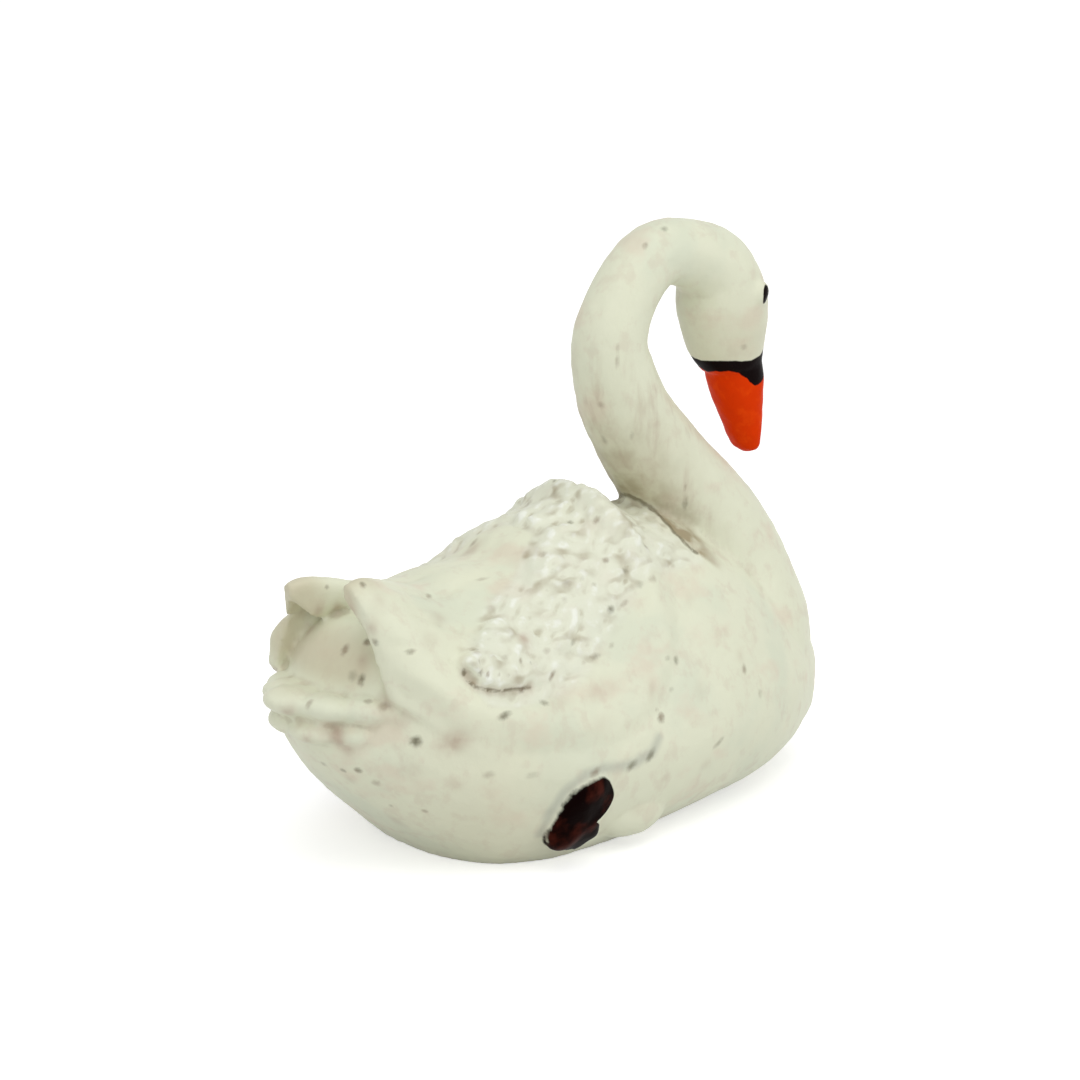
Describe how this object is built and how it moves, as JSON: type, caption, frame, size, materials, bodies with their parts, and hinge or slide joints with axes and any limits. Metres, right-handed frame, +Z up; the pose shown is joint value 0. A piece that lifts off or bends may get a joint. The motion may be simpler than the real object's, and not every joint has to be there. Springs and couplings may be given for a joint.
{
  "type": "swan figurine",
  "caption": "Resting swan figurine with an arched neck, folded feathered wings, upturned tail and webbed feet, standing on the flat of its belly.",
  "frame": {"origin": "middle of the swan's width on the flat resting face, a little behind the middle of that face", "axes": "+Z up out of the resting face, +X towards the breast and the bill, +Y towards the bird's left wing"},
  "size_m": [0.0713, 0.0366, 0.0601],
  "materials": {
    "painted_resin": "cast resin, hand painted in satin off-white with a thin brown wash in the recesses; bill orange-red with a black base, eyes black, feet dark brown"
  },
  "bodies": {
    "root": {"swan": "painted_resin"}
  },
  "joints": []
}
